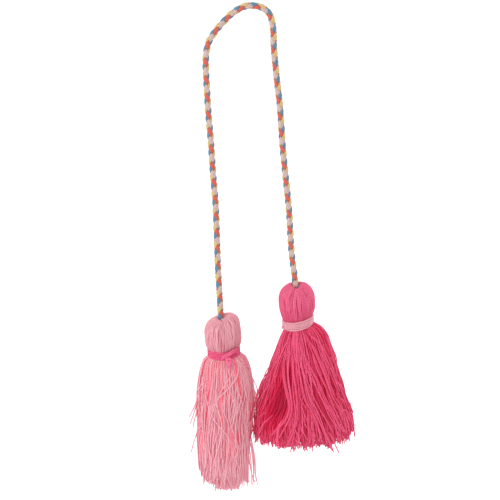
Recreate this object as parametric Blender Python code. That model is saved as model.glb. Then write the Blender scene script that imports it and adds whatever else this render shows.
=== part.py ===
"""A braided cord with a yarn tassel on each end, hanging from the middle of the cord.

Metres, +Z up, seen from -Y.  The origin is the point of support, under the top of the cord's arch.
Each tassel is a bundle of yarn folded over the cord's end and bound at the neck with thread.
"""

import math
import random
from collections import namedtuple

import bmesh
import bpy
from mathutils import Matrix, Vector

MM = 0.001

# The four-strand round braid.
CORD_RADIUS = 1.22 * MM
BRAID_RELIEF = 0.14 * MM
BRAID_PITCH = 6.5 * MM
RINGS_A_PITCH = 4
CORD_SIDES = 8
CURVE_STEPS = 24

# The cord's route in millimetres, from the pale tassel up over the support and down to the hot pink one.
RoutePoint = namedtuple("RoutePoint", "x y z")
CORD_ROUTE = (
    RoutePoint(-16.3, 0.0, -125.0),
    RoutePoint(-16.4, 0.0, -121.0),
    RoutePoint(-16.4, 0.1, -113.5),
    RoutePoint(-16.4, 0.2, -101.0),
    RoutePoint(-16.1, 0.3, -88.0),
    RoutePoint(-15.9, 0.2, -75.0),
    RoutePoint(-16.2, 0.0, -62.0),
    RoutePoint(-16.3, -0.2, -50.0),
    RoutePoint(-16.6, -0.2, -40.0),
    RoutePoint(-16.65, 0.0, -30.0),
    RoutePoint(-16.6, 0.3, -22.0),
    RoutePoint(-16.2, 0.6, -16.5),
    RoutePoint(-14.9, 0.8, -11.8),
    RoutePoint(-12.3, 0.9, -8.0),
    RoutePoint(-8.9, 0.8, -4.4),
    RoutePoint(-4.7, 0.6, -0.9),
    RoutePoint(0.0, 0.3, 1.2),
    RoutePoint(4.0, 0.0, 1.1),
    RoutePoint(7.0, -0.2, -0.1),
    RoutePoint(9.0, -0.3, -2.2),
    RoutePoint(9.9, -0.4, -5.4),
    RoutePoint(10.2, -0.4, -9.2),
    RoutePoint(10.1, -0.3, -15.0),
    RoutePoint(10.4, -0.1, -22.0),
    RoutePoint(10.8, 0.1, -29.0),
    RoutePoint(11.3, 0.2, -36.0),
    RoutePoint(11.55, 0.2, -43.5),
    RoutePoint(11.7, 0.1, -52.0),
    RoutePoint(12.1, -0.1, -61.0),
    RoutePoint(12.6, -0.2, -70.0),
    RoutePoint(13.1, -0.2, -79.0),
    RoutePoint(13.2, -0.1, -88.0),
    RoutePoint(13.4, 0.0, -97.5),
    RoutePoint(14.1, 0.0, -106.0),
    RoutePoint(14.5, 0.0, -113.0),
)

# One row for each ring of a tassel's head, from the shoulder under the binding up over the crown,
# into the dimple where the yarn folds round the cord, and down the pocket that holds the cord's end.
# Millimetres; lean is the rise for each millimetre towards +X, and gather is the depth of the folds
# as a share of the half width.
HeadRing = namedtuple("HeadRing", "x z half_width lean gather")
PALE_HEAD = (
    HeadRing(-16.0, -140.4, 7.4, 0.02, 0.0),
    HeadRing(-16.0, -139.3, 5.6, 0.02, 0.0),
    HeadRing(-16.0, -134.9, 5.6, 0.02, 0.0),
    HeadRing(-16.0, -134.4, 6.7, 0.02, 0.0),
    HeadRing(-16.0, -130.8, 7.55, 0.0, 0.01),
    HeadRing(-16.0, -126.9, 7.4, 0.04, 0.02),
    HeadRing(-15.9, -124.1, 6.6, 0.08, 0.03),
    HeadRing(-15.8, -122.3, 5.2, 0.12, 0.05),
    HeadRing(-15.8, -121.5, 3.5, 0.14, 0.09),
    HeadRing(-16.2, -122.0, 2.3, 0.1, 0.10),
    HeadRing(-16.4, -123.2, 1.65, 0.0, 0.0),
    HeadRing(-16.4, -125.3, 1.65, 0.0, 0.0),
)
HOT_HEAD = (
    HeadRing(15.6, -129.7, 7.8, 0.12, 0.0),
    HeadRing(14.8, -128.3, 5.3, 0.12, 0.0),
    HeadRing(14.7, -123.0, 5.3, 0.12, 0.0),
    HeadRing(14.7, -122.5, 6.4, 0.12, 0.0),
    HeadRing(14.7, -119.0, 7.4, 0.04, 0.01),
    HeadRing(14.7, -115.5, 7.5, 0.0, 0.02),
    HeadRing(14.7, -112.6, 6.5, 0.0, 0.04),
    HeadRing(14.8, -110.8, 4.9, 0.02, 0.06),
    HeadRing(14.8, -110.0, 3.4, 0.03, 0.11),
    HeadRing(14.6, -110.5, 2.3, 0.02, 0.12),
    HeadRing(14.5, -111.6, 1.65, 0.0, 0.0),
    HeadRing(14.5, -113.3, 1.65, 0.0, 0.0),
)

# One row for each ring of a tassel's strands, from the root down to the cut ends.
# Millimetres; fill is the share of the room between neighbours that a strand takes up.
StrandRing = namedtuple("StrandRing", "x z half_width half_depth fill")
PALE_SKIRT = (
    StrandRing(-16.1, -144.0, 10.1, 8.3, 0.86),
    StrandRing(-16.6, -153.5, 11.4, 9.3, 0.78),
    StrandRing(-17.9, -177.0, 11.1, 9.5, 0.73),
    StrandRing(-18.3, -196.0, 10.4, 9.0, 0.42),
)
HOT_SKIRT = (
    StrandRing(16.8, -134.0, 10.3, 8.4, 0.86),
    StrandRing(16.1, -144.0, 14.0, 10.9, 0.78),
    StrandRing(14.9, -164.0, 20.4, 15.1, 0.73),
    StrandRing(14.7, -177.5, 20.7, 15.6, 0.42),
)

# How the strands' ends are cut, in millimetres: how much shorter they are at the -X side and at the
# rim, and how far the outermost locks at the +X side swing away from the rest.
EndCut = namedtuple("EndCut", "shorter_left shorter_rim stray")
PALE_CUT = EndCut(5.0, 3.0, 3.6)
HOT_CUT = EndCut(0.0, 4.0, 0.0)

# Strands stand in a square of cells pressed round to fill the neck; 11 x 11 makes 121 in a tassel.
CELLS_ACROSS = 11

# Shares of a cell: how far its corners are shifted, and how far its strand sways on the way down.
CELL_UNEVENNESS = 0.2
STRAND_SWAY = 0.10

# Share of the skirt's half width past which a lock is one of the stray ones.
STRAY_LOCKS = 0.84

# Millimetres that a strand's cut end may lie above or below its neighbours'.
RAGGED_ENDS = 1.6

# A head is a little flatter from front to back than it is wide, and gathered in folds at the cord.
HEAD_DEPTH = 0.9
FOLDS_ROUND = 11

# The wound bindings, in millimetres.  Front spread is the share by which the wraps lie wider apart at
# the front than at the sides; lean is how much the band rises for each millimetre towards +X.
Binding = namedtuple("Binding", "x z inner_radius outer_radius height wraps front_spread lean")
PALE_BINDING = Binding(-16.0, -137.1, 5.95, 6.8, 3.2, 4, 0.17, 0.02)
HOT_BINDING = Binding(14.75, -125.7, 5.65, 6.5, 4.2, 6, 0.05, 0.12)
BINDING_STEPS = 36
WRAP_GROOVE = 0.16 * MM

# The knotted thread ends, as long beads that lie down the slope of the skirt, in millimetres.
Knot = namedtuple("Knot", "x y z radius length slope_deg")
PALE_KNOT = Knot(-13.3, -7.15, -139.6, 1.0, 6.2, 36.5)
HOT_KNOT = Knot(8.35, -1.2, -127.8, 0.85, 1.9, 0.0)


def clear_scene():
    """Removes what a new file starts with."""
    for old in list(bpy.data.objects):
        bpy.data.objects.remove(old, do_unlink=True)


def yarn_material(name, colour, roughness):
    material = bpy.data.materials.new(name)
    material.use_nodes = True
    shader = material.node_tree.nodes["Principled BSDF"]
    shader.inputs["Base Color"].default_value = (*colour, 1.0)
    shader.inputs["Roughness"].default_value = roughness
    shader.inputs["Metallic"].default_value = 0.0
    return material


def finish_object(name, bm, material, sharp_deg=50.0):
    bmesh.ops.recalc_face_normals(bm, faces=bm.faces)
    mesh = bpy.data.meshes.new(name)
    bm.to_mesh(mesh)
    bm.free()
    mesh.shade_smooth()
    mesh.set_sharp_from_angle(angle=math.radians(sharp_deg))
    mesh.materials.append(material)
    made = bpy.data.objects.new(name, mesh)
    bpy.context.scene.collection.objects.link(made)
    return made


def nearest(verts, place):
    return min(verts, key=lambda vert: (vert.co - place).length)


def smooth_route(points):
    """A smooth curve through the route's points, as closely spaced places with their distance along it."""
    ends = (points[0] * 2 - points[1], points[-1] * 2 - points[-2])
    through = [ends[0], *points, ends[1]]
    places = []
    for before, start, end, after in zip(through, through[1:], through[2:], through[3:]):
        for step in range(CURVE_STEPS):
            t = step / CURVE_STEPS
            bend = (2 * before - 5 * start + 4 * end - after) * t * t
            twist = (3 * start - before - 3 * end + after) * t * t * t
            places.append((2 * start + (end - before) * t + bend + twist) / 2)
    places.append(points[-1])
    along = [0.0]
    for start, end in zip(places, places[1:]):
        along.append(along[-1] + (end - start).length)
    return places, along


def evenly_spaced(places, along, count):
    """The curve read again at count equal steps."""
    spaced, at = [], 0
    for number in range(count + 1):
        wanted = along[-1] * number / count
        while at < len(along) - 2 and along[at + 1] < wanted:
            at += 1
        share = (wanted - along[at]) / (along[at + 1] - along[at])
        spaced.append(places[at].lerp(places[at + 1], share))
    return spaced


def braided_cord(material):
    """A tube whose sides swell in turn at front and back and at left and right, as the strands cross."""
    places, along = smooth_route([Vector(point) * MM for point in CORD_ROUTE])
    count = round(along[-1] / (BRAID_PITCH / RINGS_A_PITCH))
    centres = evenly_spaced(places, along, count)
    bm = bmesh.new()
    first = bmesh.ops.create_circle(bm, cap_ends=True, segments=CORD_SIDES, radius=CORD_RADIUS)
    ring = list(first["verts"])
    edges = list({edge for vert in ring for edge in vert.link_edges})
    # The section's own X and Y, kept from turning as the route bends.
    side = Vector((1.0, 0.0, 0.0))
    for number, centre in enumerate(centres):
        ahead = (centres[min(number + 1, count)] - centres[max(number - 1, 0)]).normalized()
        side = (side - ahead * side.dot(ahead)).normalized()
        across = ahead.cross(side)
        if number:
            grown = bmesh.ops.extrude_edge_only(bm, edges=edges)["geom"]
            edges = [item for item in grown if isinstance(item, bmesh.types.BMEdge)]
            edges = [edge for edge in edges if all(vert in grown for vert in edge.verts)]
            new_verts = {vert for edge in edges for vert in edge.verts}
            ring = [nearest(new_verts, old.co) for old in ring]
        swell = BRAID_RELIEF * (-1 if number % 2 else 1)
        for corner, vert in enumerate(ring):
            angle = math.tau * corner / CORD_SIDES
            radius = CORD_RADIUS + swell * math.cos(2 * angle)
            vert.co = centre + (side * math.cos(angle) + across * math.sin(angle)) * radius
    bm.faces.new(ring)
    return finish_object("braided_cord", bm, material, sharp_deg=80.0)


def on_disc(across, up):
    """Presses a place in the square from -1 to 1 into the unit disc, keeping cells about even."""
    if abs(across) < 1e-9 and abs(up) < 1e-9:
        return Vector((0.0, 0.0))
    if abs(across) > abs(up):
        radius, angle = across, math.pi / 4 * up / across
    else:
        radius, angle = up, math.pi / 2 - math.pi / 4 * across / up
    return Vector((radius * math.cos(angle), radius * math.sin(angle)))


def uneven_cells(bm, rng):
    """A square grid with its inner corners shifted a little, pressed into the unit disc."""
    bmesh.ops.create_grid(bm, x_segments=CELLS_ACROSS, y_segments=CELLS_ACROSS, size=1.0)
    shift = CELL_UNEVENNESS * 2 / CELLS_ACROSS
    for vert in bm.verts:
        across, up = vert.co.x, vert.co.y
        if not vert.is_boundary:
            across += rng.uniform(-shift, shift)
            up += rng.uniform(-shift, shift)
        vert.co.xy = on_disc(across, up)


def add_head(bm, rings):
    """Carries the disc's rim up over the head and down into the pocket, ring by ring."""
    rim = [vert for vert in bm.verts if vert.is_boundary]
    edges = [edge for edge in bm.edges if edge.is_boundary]
    angle_of = {vert: math.atan2(vert.co.y, vert.co.x) for vert in rim}
    root = rings[0]
    for vert in bm.verts:
        flat = vert.co.xy * root.half_width * MM
        vert.co = (root.x * MM + flat.x, flat.y * HEAD_DEPTH, root.z * MM + flat.x * root.lean)
    for row in rings[1:]:
        grown = bmesh.ops.extrude_edge_only(bm, edges=edges)["geom"]
        new_verts = [item for item in grown if isinstance(item, bmesh.types.BMVert)]
        edges = [item for item in grown if isinstance(item, bmesh.types.BMEdge)]
        edges = [edge for edge in edges if edge.is_boundary]
        angles = {vert: angle_of[nearest(rim, vert.co)] for vert in new_verts}
        depth = 1.0 if row.half_width < 2.0 else HEAD_DEPTH
        for vert, angle in angles.items():
            radius = row.half_width * (1 + row.gather * math.cos(FOLDS_ROUND * angle)) * MM
            flat_x = radius * math.cos(angle)
            vert.co.x = row.x * MM + flat_x
            vert.co.y = radius * math.sin(angle) * depth
            vert.co.z = row.z * MM + flat_x * row.lean
        rim, angle_of = new_verts, angles
    bmesh.ops.edgenet_fill(bm, edges=edges)


def end_shift(middle, cut, ragged):
    """How far a strand's cut end lies from the skirt's lowest level, as a move in X and Z."""
    rise = cut.shorter_rim * middle.length ** 4 + cut.shorter_left * max(0.0, -middle.x)
    swing = cut.stray if middle.x > STRAY_LOCKS else 0.0
    return Vector((swing, 0.0, rise + ragged)) * MM


def add_strands(bm, roots, root, rings, cut, rng):
    """Draws every root cell down as a four-sided strand of its own, apart from its neighbours."""
    number_layer = bm.faces.layers.int["strand"]
    corners, sway, ragged = [], [], []
    for face in roots:
        places = [(vert.co.x / MM - root.x, vert.co.y / MM / HEAD_DEPTH) for vert in face.verts]
        corners.append([Vector(place) / root.half_width for place in places])
        sway.append(Vector((rng.uniform(-1, 1), rng.uniform(-1, 1))) * STRAND_SWAY * 2 / CELLS_ACROSS)
        ragged.append(rng.uniform(-1, 1) * RAGGED_ENDS)
    faces = roots
    for level, row in enumerate(rings, 1):
        faces = bmesh.ops.extrude_discrete_faces(bm, faces=faces)["faces"]
        for face in faces:
            number = face[number_layer]
            middle = sum(corners[number], Vector((0.0, 0.0))) / 4
            swing = sway[number] * math.sin(2.1 * level)
            shift = Vector((0.0, 0.0, 0.0))
            if level == len(rings):
                shift = end_shift(middle, cut, ragged[number])
            for corner, vert in zip(corners[number], face.verts):
                flat = middle + (corner - middle) * row.fill + swing
                place = (row.x + flat.x * row.half_width, flat.y * row.half_depth, row.z)
                vert.co = Vector(place) * MM + shift


def tassel(name, head, skirt, cut, material, seed):
    rng = random.Random(seed)
    bm = bmesh.new()
    uneven_cells(bm, rng)
    number_layer = bm.faces.layers.int.new("strand")
    roots = list(bm.faces)
    for number, face in enumerate(roots):
        face[number_layer] = number
    add_head(bm, head)
    add_strands(bm, roots, head[0], skirt, cut, rng)
    return finish_object(name, bm, material)


def knot_bead(name, knot):
    """A bead drawn out along the slope of the skirt, to be joined to its binding."""
    bm = bmesh.new()
    bmesh.ops.create_icosphere(bm, subdivisions=2, radius=1.0)
    stretch = Matrix.Diagonal((knot.radius, knot.radius * 0.9, knot.length / 2)).to_4x4()
    slope = Matrix.Rotation(math.radians(-knot.slope_deg), 4, "X")
    place = Matrix.Translation(Vector((knot.x, knot.y, knot.z)) * MM)
    bm.transform(place @ Matrix.Scale(MM, 4) @ slope @ stretch)
    mesh = bpy.data.meshes.new(name)
    bm.to_mesh(mesh)
    bm.free()
    bead = bpy.data.objects.new(name, mesh)
    bpy.context.scene.collection.objects.link(bead)
    bead.hide_render = True
    bead.display_type = "WIRE"
    return bead


def wound_binding(name, binding, knot, material):
    """Turns the wraps' section once round the neck, then joins the knotted end to it."""
    inner, outer = binding.inner_radius * MM, binding.outer_radius * MM
    height = binding.height * MM
    wrap = height / binding.wraps
    section = [(inner, height / 2), (outer - 2 * WRAP_GROOVE, height / 2)]
    for number in range(binding.wraps):
        top = height / 2 - number * wrap
        section.append((outer, top - wrap / 2))
        if number < binding.wraps - 1:
            section.append((outer - WRAP_GROOVE, top - wrap))
    section += [(outer - 2 * WRAP_GROOVE, -height / 2), (inner, -height / 2)]
    bm = bmesh.new()
    verts = [bm.verts.new((radius, 0.0, z)) for radius, z in section]
    edges = [bm.edges.new(pair) for pair in zip(verts, verts[1:] + verts[:1])]
    bmesh.ops.spin(
        bm,
        geom=verts + edges,
        axis=(0.0, 0.0, 1.0),
        cent=(0.0, 0.0, 0.0),
        angle=math.tau,
        steps=BINDING_STEPS,
        use_merge=True,
    )
    for vert in bm.verts:
        towards_front = -vert.co.y / vert.co.xy.length
        vert.co.z *= 1 + binding.front_spread * towards_front
        vert.co.z += vert.co.x * binding.lean + binding.z * MM
        vert.co.y *= HEAD_DEPTH
        vert.co.x += binding.x * MM
    made = finish_object(name, bm, material, sharp_deg=80.0)
    bead = knot_bead(name + "_knot", knot)
    join = made.modifiers.new("knotted end", "BOOLEAN")
    join.operation = "UNION"
    join.solver = "EXACT"
    join.object = bead
    return made


def main():
    clear_scene()
    braid = yarn_material("braided cotton", (0.60, 0.36, 0.32), 0.8)
    pale_yarn = yarn_material("pale pink yarn", (0.87, 0.39, 0.45), 0.7)
    hot_yarn = yarn_material("hot pink yarn", (0.80, 0.07, 0.19), 0.7)
    braided_cord(braid)
    tassel("pale_tassel", PALE_HEAD, PALE_SKIRT, PALE_CUT, pale_yarn, seed=7)
    tassel("hot_tassel", HOT_HEAD, HOT_SKIRT, HOT_CUT, hot_yarn, seed=11)
    wound_binding("pale_tassel_binding", PALE_BINDING, PALE_KNOT, hot_yarn)
    wound_binding("hot_tassel_binding", HOT_BINDING, HOT_KNOT, pale_yarn)


main()
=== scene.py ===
import math
from collections import namedtuple

import bmesh
import bpy
import numpy as np
from mathutils import Matrix, Vector


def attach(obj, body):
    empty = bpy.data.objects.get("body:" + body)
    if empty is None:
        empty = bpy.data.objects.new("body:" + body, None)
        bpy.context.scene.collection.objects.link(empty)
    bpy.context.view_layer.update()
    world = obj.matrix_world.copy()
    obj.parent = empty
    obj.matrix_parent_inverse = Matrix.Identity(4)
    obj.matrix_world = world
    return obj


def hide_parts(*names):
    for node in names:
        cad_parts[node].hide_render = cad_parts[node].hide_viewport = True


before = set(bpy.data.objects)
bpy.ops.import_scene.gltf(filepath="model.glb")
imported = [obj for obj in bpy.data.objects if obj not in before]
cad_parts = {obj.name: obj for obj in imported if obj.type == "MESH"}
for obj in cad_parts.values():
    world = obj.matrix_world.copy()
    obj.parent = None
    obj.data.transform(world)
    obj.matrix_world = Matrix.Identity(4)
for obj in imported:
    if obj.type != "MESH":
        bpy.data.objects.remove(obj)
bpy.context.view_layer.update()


# ======================================================================== the view
# The camera looks at the hanging cord from the front and a little above, and is turned a few degrees,
# so that the cord hangs down and slightly to the right in the picture.

VIEW_TARGET = Vector((-0.0032, 0.0, -0.095))
VIEW_DISTANCE = 0.55
VIEW_DOWN = math.radians(14)
VIEW_ROLL = math.radians(3)
VIEW_LENS = 99.0
SENSOR_WIDTH = 36.0

ahead = Vector((0.0, math.cos(VIEW_DOWN), -math.sin(VIEW_DOWN)))
level = Vector((1.0, 0.0, 0.0))
upward = level.cross(ahead)
view_right = level * math.cos(VIEW_ROLL) - upward * math.sin(VIEW_ROLL)
view_up = level * math.sin(VIEW_ROLL) + upward * math.cos(VIEW_ROLL)
view_turn = Matrix((view_right, view_up, -ahead)).transposed().to_4x4()

camera = bpy.data.objects.new("view", bpy.data.cameras.new("view"))
camera.data.lens = VIEW_LENS
camera.data.sensor_width = SENSOR_WIDTH
camera.data.clip_start = 0.01
camera.matrix_world = Matrix.Translation(VIEW_TARGET - ahead * VIEW_DISTANCE) @ view_turn
bpy.context.scene.collection.objects.link(camera)
bpy.context.scene.camera = camera


# ======================================================================== the braided cord
# A round braid of four soft cotton strands: red-orange and pinkish white wind one way, blue and yellow
# the other, each over one and under one.  It is folded over its middle and its two ends are caught in
# the tassels.

MM = 0.001

# The cord's route in metres, from the pale tassel up over the support and down to the hot pink one.
CORD_ROUTE = (
    (-0.0163, 0.0000, -0.1250), (-0.0164, 0.0000, -0.1210), (-0.0164, 0.0001, -0.1135),
    (-0.0164, 0.0002, -0.1010), (-0.0161, 0.0003, -0.0880), (-0.0159, 0.0002, -0.0750),
    (-0.0162, 0.0000, -0.0620), (-0.0163, -0.0002, -0.0500), (-0.0166, -0.0002, -0.0400),
    (-0.01665, 0.0000, -0.0300), (-0.0166, 0.0003, -0.0220), (-0.0162, 0.0006, -0.0165),
    (-0.0149, 0.0008, -0.0118), (-0.0123, 0.0009, -0.0080), (-0.0089, 0.0008, -0.0044),
    (-0.0047, 0.0006, -0.0009), (0.0000, 0.0003, 0.0012), (0.0040, 0.0000, 0.0011),
    (0.0070, -0.0002, -0.0001), (0.0090, -0.0003, -0.0022), (0.0099, -0.0004, -0.0054),
    (0.0102, -0.0004, -0.0092), (0.0101, -0.0003, -0.0150), (0.0104, -0.0001, -0.0220),
    (0.0108, 0.0001, -0.0290), (0.0113, 0.0002, -0.0360), (0.01155, 0.0002, -0.0435),
    (0.0117, 0.0001, -0.0520), (0.0121, -0.0001, -0.0610), (0.0126, -0.0002, -0.0700),
    (0.0131, -0.0002, -0.0790), (0.0132, -0.0001, -0.0880), (0.0134, 0.0000, -0.0975),
    (0.0141, 0.0000, -0.1060), (0.0145, 0.0000, -0.1130),
)
ROUTE_STEPS = 24

# How the braid lies: full turns of a strand counted along the cord, and how far the whole cord is
# twisted there, in degrees.  It is a little looser on the pale side.
BraidAt = namedtuple("BraidAt", "distance turns twist")
BRAID = (
    BraidAt(0.0, -0.64, 50.0),
    BraidAt(0.0043, 0.0, 48.0),
    BraidAt(0.0240, 2.92, 40.0),
    BraidAt(0.0450, 6.03, 22.0),
    BraidAt(0.0700, 9.73, 8.0),
    BraidAt(0.1123, 16.0, 0.0),
    BraidAt(0.1350, 19.5, 28.0),
    BraidAt(0.1575, 23.0, 50.0),
    BraidAt(0.1780, 26.14, 36.0),
    BraidAt(0.2000, 29.5, 18.0),
    BraidAt(0.2491, 37.05, 2.0),
    BraidAt(0.2551, 38.0, 0.0),
)
BRAID_RINGS = 740
BRAID_SIDES = 10
STRAND_STRAIGHT = 0.45
STRAND_OUT = 0.67 * MM
STRAND_WEAVE = 0.27 * MM
STRAND_THICK = 0.42 * MM
STRAND_WIDE = 0.88 * MM
# The red-orange strand is the thinnest, and the pinkish white and yellow ones are the fullest.
STRAND_SIZES = np.array([[0.9], [1.05], [0.98], [1.08]])


def unit(vectors):
    """Each of the vectors at length one."""
    return vectors / np.linalg.norm(vectors, axis=-1, keepdims=True)


def smooth_curve(rows, steps):
    """Rows of numbers drawn out to a smooth curve through them, with steps places from row to row."""
    rows = np.array(rows, float)
    padded = np.vstack([2 * rows[0] - rows[1], rows, 2 * rows[-1] - rows[-2]])
    parts = (padded[:-3], padded[1:-2], padded[2:-1], padded[3:])
    before, start, end, after = (part[:, None] for part in parts)
    t = (np.arange(steps) / steps)[None, :, None]
    bend = (2 * before - 5 * start + 4 * end - after) * t**2
    twist = (3 * start - before - 3 * end + after) * t**3
    curve = (2 * start + (end - before) * t + bend + twist) / 2
    return np.vstack([curve.reshape(-1, rows.shape[1]), rows[-1]])


def evenly(curve, count):
    """The curve read at count places, equally far apart."""
    along = np.append(0.0, np.cumsum(np.linalg.norm(np.diff(curve, axis=0), axis=1)))
    wanted = np.linspace(0.0, along[-1], count)
    return np.stack([np.interp(wanted, along, column) for column in curve.T], axis=-1), wanted


def paint(mesh, name, values):
    """Writes a number for each point of the mesh, for its material to read."""
    layer = mesh.attributes.new(name, "FLOAT", "POINT")
    layer.data.foreach_set("value", np.ravel(values).astype(np.float32))


# On the finish's map each thread has a strip of its own, with a bare margin at its sides and ends, in
# which the caps of its two ends lie.
STRIP_SIDE = 0.08
STRIP_END = 0.03
CAP_SIZE = 0.012
CAP_GAP = 0.014


def thread_piece(name, lines, outward, thick, wide, sides, tone, depth=0.0):
    """One piece of closed tubes that follow the lines, an array of threads, rings and XYZ.

    Outward is the way that the flat side of a ring faces; thick and wide are half of a ring's size that
    way and across it.  The map "yarn" runs once round a thread and along it in millimetres, and the map
    that the finish is laid out on gives each thread a strip of its own.
    """
    count, rings = lines.shape[:2]
    along = unit(np.gradient(lines, axis=1))
    side = unit(np.cross(along, outward))
    up = np.cross(side, along)
    angle = np.arange(sides) * math.tau / sides
    thick, wide, tone, depth = (
        np.broadcast_to(value, (count, rings)) for value in (thick, wide, tone, depth)
    )
    section_up = np.cos(angle)[:, None] * up[:, :, None] * thick[:, :, None, None]
    section_side = np.sin(angle)[:, None] * side[:, :, None] * wide[:, :, None, None]
    points = lines[:, :, None] + section_up + section_side

    first = np.arange(count)[:, None, None] * rings * sides
    ring = first + np.arange(rings - 1)[None, :, None] * sides
    here, there = ring + np.arange(sides), ring + (np.arange(sides) + 1) % sides
    walls = np.stack([here, there, there + sides, here + sides], axis=-1).reshape(-1, 4)
    start_caps = first[:, 0] + np.arange(sides)[::-1]
    end_caps = first[:, 0] + (rings - 1) * sides + np.arange(sides)
    mesh = bpy.data.meshes.new(name)
    mesh.from_pydata(points.reshape(-1, 3), [], walls.tolist() + start_caps.tolist() + end_caps.tolist())

    step = np.linalg.norm(np.diff(lines, axis=1), axis=-1)
    distance = np.concatenate([np.zeros((count, 1)), np.cumsum(step, axis=1)], axis=1) / MM
    round_by = np.arange(sides + 1) / sides
    u = np.broadcast_to(round_by, (count, rings, sides + 1))
    v = np.broadcast_to(distance[:, :, None], u.shape)
    share = np.broadcast_to((np.arange(rings) / (rings - 1))[None, :, None], u.shape)
    bands = max(1, round(math.sqrt(count * sides / rings / 2)))
    columns = math.ceil(count / bands)
    column = (np.arange(count) % columns)[:, None, None]
    band = (np.arange(count) // columns)[:, None, None]
    strip_u = (column + STRIP_SIDE + (1 - 2 * STRIP_SIDE) * u) / columns
    strip_v = (band + STRIP_END + (1 - 2 * STRIP_END) * share) / bands

    def corners(values):
        return np.stack([values[:, :-1, :-1], values[:, :-1, 1:], values[:, 1:, 1:], values[:, 1:, :-1]], -1)

    for map_name, across, length in (("yarn", u, v), ("OFBake", strip_u, strip_v)):
        wall_map = np.stack([corners(across), corners(length)], -1).reshape(-1, 2)
        caps = []
        for end, order in ((0, slice(None, None, -1)), (-1, slice(None))):
            cap_u, cap_v = across[:, end, :-1], length[:, end, :-1].copy()
            if map_name == "OFBake":
                cap_v = cap_v + (CAP_SIZE * np.sin(angle) + (-CAP_GAP if end == 0 else CAP_GAP)) / bands
            caps.append(np.stack([cap_u[:, order], cap_v[:, order]], -1).reshape(-1, 2))
        layer = mesh.uv_layers.new(name=map_name)
        layer.uv.foreach_set("vector", np.concatenate([wall_map, *caps]).astype(np.float32).ravel())
    mesh.uv_layers["yarn"].active_render = True
    # The tone is each thread's own tone of the yarn; depth is how much painted shade and painted glow its
    # rings get.
    paint(mesh, "tone", np.repeat(tone[:, :, None], sides, axis=2))
    paint(mesh, "depth", np.repeat(depth[:, :, None], sides, axis=2))
    mesh.shade_smooth()
    made = bpy.data.objects.new(name, mesh)
    bpy.context.scene.collection.objects.link(made)
    return made


def linear(code):
    """A colour written as six hexadecimal digits of sRGB, as linear red, green, blue and one."""
    values = [int(code[at : at + 2], 16) / 255 for at in (0, 2, 4)]
    return (*(v / 12.92 if v <= 0.04045 else ((v + 0.055) / 1.055) ** 2.4 for v in values), 1.0)


def add(tree, kind, inputs, **settings):
    """Adds a node with its settings.  An input is a number, a colour or another node's output."""
    node = tree.nodes.new("ShaderNode" + kind)
    for name, value in settings.items():
        setattr(node, name, value)
    for name, value in inputs.items():
        if isinstance(value, bpy.types.NodeSocket):
            tree.links.new(value, node.inputs[name])
        else:
            node.inputs[name].default_value = value
    return node


def new_finish(name):
    """An empty material and the tree of its nodes."""
    material = bpy.data.materials.new(name)
    material.use_nodes = True
    material.node_tree.nodes.clear()
    return material, material.node_tree


# Untwisted soft cotton: yarns lie side by side in a strand, so that fine lines run along it, with a soft
# sheen.  A strand is about 5 mm round, so that its 12 lines are 0.4 mm apart.  Fibre noise mottles it
# towards its second colour, and where a strand dives under another that colour is painted shade.
LINES_ROUND = 12
FIBRE_GRAIN = 2200.0
FIBRE_SHARE = 0.8
LINE_RELIEF = 0.04 * MM


def soft_cotton(name, colour, mottle_and_shade):
    material, tree = new_finish(name)
    place = add(tree, "SeparateXYZ", {"Vector": add(tree, "UVMap", {}, uv_map="yarn").outputs["UV"]})
    lines = add(tree, "Math", {0: place.outputs["X"], 1: math.tau * LINES_ROUND}, operation="MULTIPLY")
    ridge = add(tree, "Math", {0: lines.outputs[0]}, operation="SINE")
    where = add(tree, "TexCoord", {})
    fibre = add(tree, "TexNoise", {"Vector": where.outputs["Object"], "Scale": FIBRE_GRAIN, "Detail": 2.0})
    mottle = add(
        tree, "MapRange", {"Value": fibre.outputs["Fac"], "From Min": 0.3, "From Max": 0.7, "To Max": 0.45}
    )
    depth = add(tree, "Attribute", {}, attribute_name="depth").outputs["Fac"]
    diving_shade = add(tree, "MapRange", {"Value": depth, "From Min": 0.3, "From Max": 0.9, "To Max": 0.9})
    mottle_shade_share = add(tree, "Math", {0: mottle.outputs[0], 1: diving_shade.outputs[0]}, operation="MAXIMUM")
    body = add(tree, "Mix", {0: mottle_shade_share.outputs[0], 6: linear(colour), 7: linear(mottle_and_shade)}, data_type="RGBA")
    height = add(
        tree,
        "Math",
        {0: fibre.outputs["Fac"], 1: FIBRE_SHARE, 2: ridge.outputs[0]},
        operation="MULTIPLY_ADD",
    )
    relief = add(tree, "Bump", {"Height": height.outputs[0], "Strength": 0.5, "Distance": LINE_RELIEF})
    cotton = add(
        tree,
        "BsdfPrincipled",
        {
            "Base Color": body.outputs[2],
            "Roughness": 0.62,
            "IOR": 1.45,
            "Sheen Weight": 0.25,
            "Sheen Roughness": 0.4,
            "Normal": relief.outputs["Normal"],
        },
    )
    add(tree, "OutputMaterial", {"Surface": cotton.outputs[0]})
    return material


route, distance = evenly(smooth_curve(CORD_ROUTE, ROUTE_STEPS), BRAID_RINGS)
heading = unit(np.gradient(route, axis=0))
front = np.array([0.0, -1.0, 0.0])
front = unit(front - heading * (heading @ front)[:, None])
rightward = np.cross(heading, front)
braid_rows = np.array(BRAID)
turn = math.tau * np.interp(distance, braid_rows[:, 0], braid_rows[:, 1])
twist = np.radians(np.interp(distance, braid_rows[:, 0], braid_rows[:, 2]))

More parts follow.
